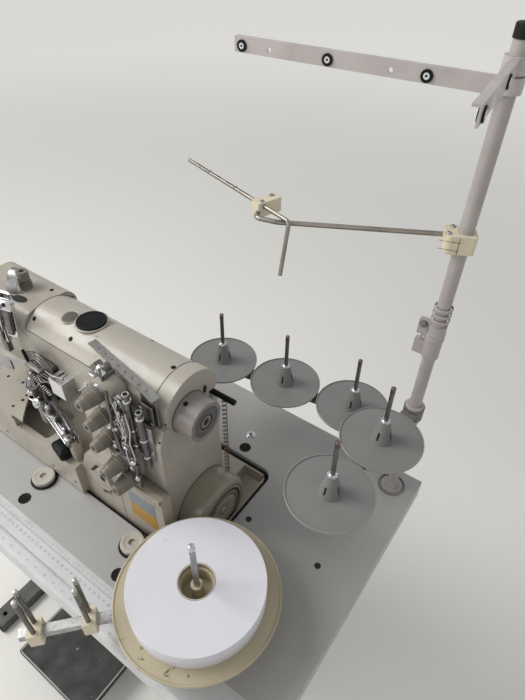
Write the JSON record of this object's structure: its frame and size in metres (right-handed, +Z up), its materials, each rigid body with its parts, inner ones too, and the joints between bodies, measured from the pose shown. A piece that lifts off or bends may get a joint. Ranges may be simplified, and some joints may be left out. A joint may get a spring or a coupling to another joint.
{
  "type": "coverstitch sewing machine",
  "caption": "Industrial coverstitch sewing machine on a table stand with treadle, thread stand, swinging thread arms and a tape reel holder.",
  "frame": {"origin": "on the floor, at the centre of the floor-bolt holes in the two foot rails", "axes": "+X along the machine's arm towards the motor end, +Y away from the operator, +Z up"},
  "size_m": [1.0652, 0.5982, 1.448],
  "materials": {
    "cream_paint": "gloss",
    "table_laminate": "satin",
    "dark_stand": "satin",
    "treadle_metal": "satin",
    "cushion_rubber": "matte",
    "cream_cast": "gloss",
    "bright_steel": "polished",
    "satin_steel": "satin",
    "dark_steel": "satin",
    "knob_plastic": "satin",
    "black_plastic": "satin",
    "spool_plastic": "satin",
    "pole_paint": "satin",
    "clamp_plastic": "satin",
    "arm_paint": "satin",
    "reel_plastic": "satin",
    "tape_cloth": "matte",
    "spring_steel": "satin",
    "dark_disc": "satin"
  },
  "bodies": {
    "machine": {"table_top": "table_laminate", "stand_frame": "dark_stand", "bed_cushions": "cushion_rubber", "bed_casting": "cream_paint", "arm_casting": "cream_paint", "arm_top_cover": "cream_cast", "arm_end_cap": "cream_cast", "end_boss": "cream_cast", "motor_housing": "cream_cast", "front_cover": "cream_cast", "cloth_plate": "cream_cast", "needle_plate": "satin_steel", "tension_posts": "bright_steel", "thread_strip": "satin_steel", "tube_guides": "satin_steel", "thread_guard": "bright_steel", "oil_cap": "black_plastic", "lifter_spring": "spring_steel", "pole_lower": "pole_paint", "pole_upper": "pole_paint", "pole_clamp": "clamp_plastic", "pole_cap": "black_plastic", "reel_spindle": "dark_steel", "reel_bar": "satin_steel"},
    "handwheel": {"handwheel": "cream_cast"},
    "upper_shaft": {"upper_shaft": "dark_disc"},
    "feed_dog": {"feed_dog": "satin_steel"},
    "looper": {"looper": "bright_steel"},
    "needle_bar": {"needle_bar": "bright_steel", "needles": "bright_steel", "take_up_lever": "bright_steel"},
    "presser": {"presser_bar": "bright_steel", "presser_foot": "bright_steel"},
    "pressure_knob": {"pressure_knob": "knob_plastic"},
    "knob_1": {"knob_1": "knob_plastic"},
    "knob_2": {"knob_2": "knob_plastic"},
    "knob_3": {"knob_3": "knob_plastic"},
    "knob_4": {"knob_4": "knob_plastic"},
    "knob_5": {"knob_5": "knob_plastic"},
    "eye_guard": {"eye_guard": "bright_steel"},
    "lifter_lever": {"lifter_lever": "dark_steel"},
    "carrier_low": {"carrier_low": "pole_paint", "spool_rests_low": "spool_plastic", "spindles_low": "dark_steel"},
    "carrier_high": {"carrier_high": "pole_paint", "spool_rests_high": "spool_plastic", "spindles_high": "dark_steel"},
    "guide_rod": {"rod_clamp": "clamp_plastic", "guide_rod": "dark_steel", "cross_block": "clamp_plastic"},
    "slotted_rod": {"slotted_rod": "dark_steel"},
    "top_arm_left": {"top_arm_left": "arm_paint", "eyelets_left": "black_plastic"},
    "top_arm_front": {"top_arm_front": "arm_paint", "eyelets_front": "black_plastic"},
    "reel": {"reel_plate": "reel_plastic", "tape_roll": "tape_cloth"},
    "guide_clamp_1": {"guide_clamp_1": "clamp_plastic"},
    "guide_clamp_2": {"guide_clamp_2": "clamp_plastic"},
    "treadle": {"treadle": "treadle_metal"}
  },
  "joints": [
    {"name": "handwheel_spin", "type": "hinge", "parent": "machine", "child": "handwheel", "pos_m": [0.299, -0.0105, 0.787], "axis": [1, 0, 0], "continuous": true},
    {"name": "upper_shaft_spin", "type": "hinge", "parent": "machine", "child": "upper_shaft", "pos_m": [0.287, -0.0205, 1], "axis": [1, 0, 0], "continuous": true},
    {"name": "feed_dog_slide", "type": "slide", "parent": "machine", "child": "feed_dog", "axis": [0, 1, 0], "range_m": [-0.0018, 0.0018]},
    {"name": "looper_swing", "type": "hinge", "parent": "machine", "child": "looper", "pos_m": [-0.11, -0.0105, 0.821], "axis": [0, 1, 0], "range_deg": [-8, 8]},
    {"name": "needle_bar_slide", "type": "slide", "parent": "machine", "child": "needle_bar", "axis": [0, 0, 1], "range_m": [-0.031, 0]},
    {"name": "lifter_turn", "type": "hinge", "parent": "machine", "child": "lifter_lever", "pos_m": [0.241, 0.0325, 0.9945], "axis": [0, 1, 0], "range_deg": [0, 18], "stiffness_Nm_per_rad": 1, "springref_deg": -6.88, "deforming": ["lifter_spring"]},
    {"name": "presser_slide", "type": "slide", "parent": "machine", "child": "presser", "axis": [0, 0, 1], "range_m": [0, 0.006]},
    {"name": "pressure_knob_turn", "type": "hinge", "parent": "machine", "child": "pressure_knob", "pos_m": [-0.09, -0.0055, 1.051], "axis": [0, 0, 1], "range_deg": [-720, 720]},
    {"name": "eye_guard_swing", "type": "hinge", "parent": "machine", "child": "eye_guard", "pos_m": [-0.036, -0.0655, 0.96], "axis": [0, 0, 1], "range_deg": [0, 75]},
    {"name": "carrier_low_swivel", "type": "hinge", "parent": "machine", "child": "carrier_low", "pos_m": [0.489, 0.2115, 0.91], "axis": [0, 0, 1], "range_deg": [-20, 6]},
    {"name": "carrier_high_swivel", "type": "hinge", "parent": "machine", "child": "carrier_high", "pos_m": [0.489, 0.2115, 0.962], "axis": [0, 0, 1], "range_deg": [-12, 15]},
    {"name": "guide_rod_swivel", "type": "hinge", "parent": "machine", "child": "guide_rod", "pos_m": [0.489, 0.2115, 1.222], "axis": [0, 0, 1], "range_deg": [-40, 40]},
    {"name": "slotted_rod_slide", "type": "slide", "parent": "guide_rod", "child": "slotted_rod", "axis": [-0.9527, 0.304, 0], "range_m": [-0.03, 0.004]},
    {"name": "top_arm_left_swivel", "type": "hinge", "parent": "machine", "child": "top_arm_left", "pos_m": [0.489, 0.2115, 1.405], "axis": [0, 0, 1], "range_deg": [-45, 45]},
    {"name": "top_arm_front_swivel", "type": "hinge", "parent": "machine", "child": "top_arm_front", "pos_m": [0.489, 0.2115, 1.422], "axis": [0, 0, 1], "range_deg": [-45, 45]},
    {"name": "reel_spin", "type": "hinge", "parent": "machine", "child": "reel", "pos_m": [0.364, -0.1445, 0.822], "axis": [0, 0, 1], "continuous": true},
    {"name": "guide_clamp_1_slide", "type": "slide", "parent": "machine", "child": "guide_clamp_1", "axis": [-0.6717, -0.7408, 0], "range_m": [-0.017, 0.022]},
    {"name": "guide_clamp_2_slide", "type": "slide", "parent": "machine", "child": "guide_clamp_2", "axis": [-0.6717, -0.7408, 0], "range_m": [-0.022, 0.01]},
    {"name": "treadle_tilt", "type": "hinge", "parent": "machine", "child": "treadle", "pos_m": [-0.047, -0.124, 0.051], "axis": [1, 0, 0], "range_deg": [-14, 14]},
    {"name": "knob_1_turn", "type": "hinge", "parent": "machine", "child": "knob_1", "pos_m": [0.16, -0.0845, 1.032], "axis": [0, 1, 0], "range_deg": [-720, 720]},
    {"name": "knob_2_turn", "type": "hinge", "parent": "machine", "child": "knob_2", "pos_m": [0.164, -0.0845, 0.994], "axis": [0, 1, 0], "range_deg": [-720, 720]},
    {"name": "knob_3_turn", "type": "hinge", "parent": "machine", "child": "knob_3", "pos_m": [0.165, -0.0845, 0.952], "axis": [0, 1, 0], "range_deg": [-720, 720]},
    {"name": "knob_4_turn", "type": "hinge", "parent": "machine", "child": "knob_4", "pos_m": [0.191, -0.0955, 0.925], "axis": [0, 1, 0], "range_deg": [-720, 720]},
    {"name": "knob_5_turn", "type": "hinge", "parent": "machine", "child": "knob_5", "pos_m": [0.207, -0.0955, 0.901], "axis": [0, 1, 0], "range_deg": [-720, 720]}
  ],
  "couplings": [
    {"joint": "upper_shaft_spin", "follows": "handwheel_spin", "ratio": 1},
    {"joint": "lifter_turn", "follows": "presser_slide", "rad_per_m": 52.3}
  ]
}
